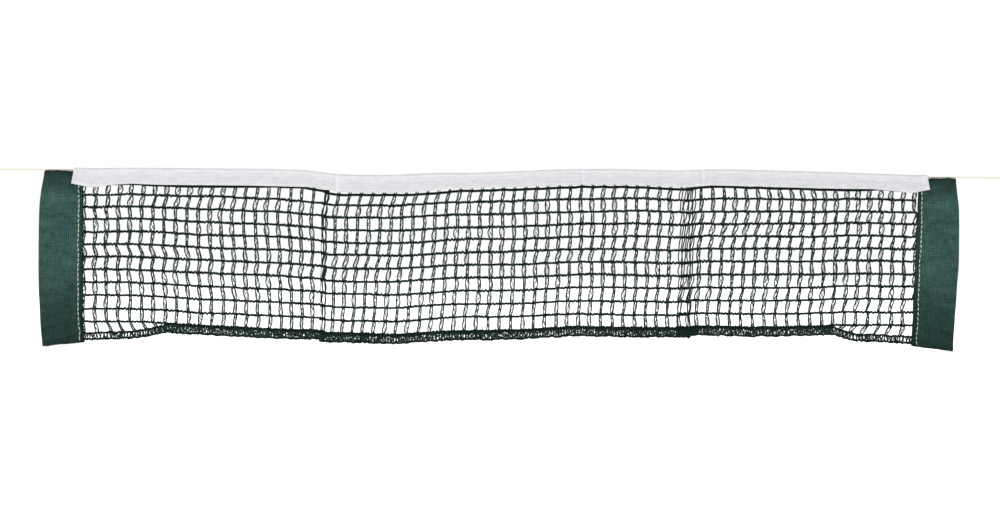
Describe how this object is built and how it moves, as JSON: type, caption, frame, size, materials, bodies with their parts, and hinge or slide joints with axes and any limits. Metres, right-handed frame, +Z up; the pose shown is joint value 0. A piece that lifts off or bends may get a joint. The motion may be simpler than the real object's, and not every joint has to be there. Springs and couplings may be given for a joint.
{
  "type": "table tennis net",
  "caption": "Knitted green table-tennis net with a folded white header tape, an open cloth post sleeve at each end, and a cord that slides in the tape and ends in tied eyes.",
  "frame": {"origin": "midway along the net and midway through its thickness, level with the lowest corner of the post sleeves", "axes": "+X along the net, +Z up from the selvedge to the header tape, -Y out of the front face"},
  "size_m": [0.918, 0.0126, 0.1565],
  "materials": {
    "sleeve_cloth": "matt slubbed woven cloth",
    "seam_thread": "matt sewing thread",
    "tape_cloth": "matt twill-woven cotton tape",
    "tape_thread": "matt sewing thread",
    "net_yarn": "matt twisted yarn",
    "cord_yarn": "matt laid cotton cord"
  },
  "bodies": {
    "net": {"left_sleeve": "sleeve_cloth", "right_sleeve": "sleeve_cloth", "left_seam_stitches": "seam_thread", "right_seam_stitches": "seam_thread", "header_tape": "tape_cloth", "tape_stitches_front": "tape_thread", "tape_stitches_back": "tape_thread", "border_thread": "net_yarn", "weft_threads": "net_yarn", "chains_front": "net_yarn", "chains_back": "net_yarn", "selvedge_upper_cord": "net_yarn", "selvedge_lower_cord": "net_yarn", "selvedge_lacing": "net_yarn"},
    "cord": {"tension_cord": "cord_yarn", "left_knot": "cord_yarn", "left_eye": "cord_yarn", "right_knot": "cord_yarn", "right_eye": "cord_yarn"}
  },
  "joints": [
    {"name": "cord_slide", "type": "slide", "parent": "net", "child": "cord", "axis": [1, 0, 0], "range_m": [-0.04, 0.04]}
  ]
}
